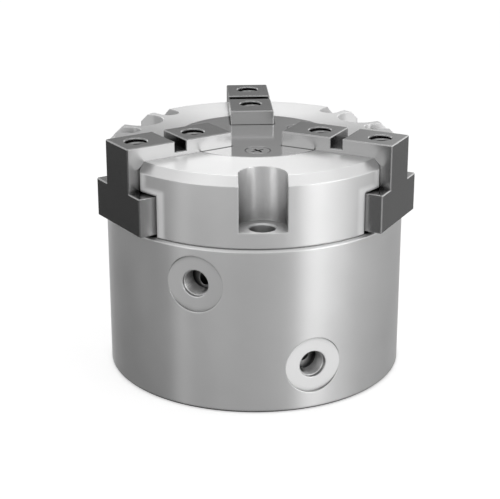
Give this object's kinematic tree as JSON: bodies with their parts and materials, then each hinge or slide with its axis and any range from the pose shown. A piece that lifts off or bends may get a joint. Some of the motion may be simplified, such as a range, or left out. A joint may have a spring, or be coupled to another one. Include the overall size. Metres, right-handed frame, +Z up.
{
  "type": "three jaw centric gripper",
  "caption": "Pneumatic centric gripper: a wedge core under a round cover slides T-guided base jaws in and out together; round body with air ports and screw notches.",
  "frame": {"origin": "centre of the round base face, on the gripper's axis", "axes": "+Z up along the gripper's axis towards the jaws' tops; +Y along the back jaw; the picture looks roughly along +Y"},
  "size_m": [0.1148, 0.1125, 0.0918],
  "materials": {
    "housing_metal": "fine turned, satin anodised",
    "guide_metal": "fine blasted, satin anodised",
    "jaw_steel": "ground, nickel plated",
    "cover_plate": "ground and lapped, glossy",
    "cover_alloy": "turned",
    "screw_steel": "plated",
    "ground_steel": "hardened and ground",
    "spring_steel": "phosphated spring steel",
    "bush_bronze": "sintered bronze",
    "seal_rubber": "moulded",
    "guide_plastic": "moulded"
  },
  "bodies": {
    "housing": {"guide_body": "guide_metal", "cylinder_housing": "housing_metal", "base_cover": "cover_alloy", "base_cover_seal": "seal_rubber", "retaining_ring": "spring_steel", "centre_cover": "cover_plate", "cover_screws": "screw_steel", "housing_screws": "screw_steel", "dowel_pins": "ground_steel", "rod_bush": "bush_bronze", "rod_seal": "seal_rubber"},
    "drive": {"piston": "cover_alloy", "piston_guide_ring": "guide_plastic", "piston_seal": "seal_rubber", "piston_rod": "ground_steel", "piston_rod_seal": "seal_rubber", "piston_screw": "screw_steel", "wedge_core": "jaw_steel"},
    "back_jaw": {"jaw_back": "jaw_steel"},
    "left_jaw": {"jaw_left": "jaw_steel"},
    "right_jaw": {"jaw_right": "jaw_steel"}
  },
  "joints": [
    {"name": "piston_slide", "type": "slide", "parent": "housing", "child": "drive", "axis": [0, 0, 1], "range_m": [0, 0.01]},
    {"name": "back_jaw_slide", "type": "slide", "parent": "housing", "child": "back_jaw", "axis": [0, 1, 0], "range_m": [0, 0.006]},
    {"name": "left_jaw_slide", "type": "slide", "parent": "housing", "child": "left_jaw", "axis": [-0.866, -0.5, 0], "range_m": [0, 0.006]},
    {"name": "right_jaw_slide", "type": "slide", "parent": "housing", "child": "right_jaw", "axis": [0.866, -0.5, 0], "range_m": [0, 0.006]}
  ],
  "couplings": [
    {"joint": "back_jaw_slide", "follows": "piston_slide", "ratio": 0.6},
    {"joint": "left_jaw_slide", "follows": "piston_slide", "ratio": 0.6},
    {"joint": "right_jaw_slide", "follows": "piston_slide", "ratio": 0.6}
  ]
}
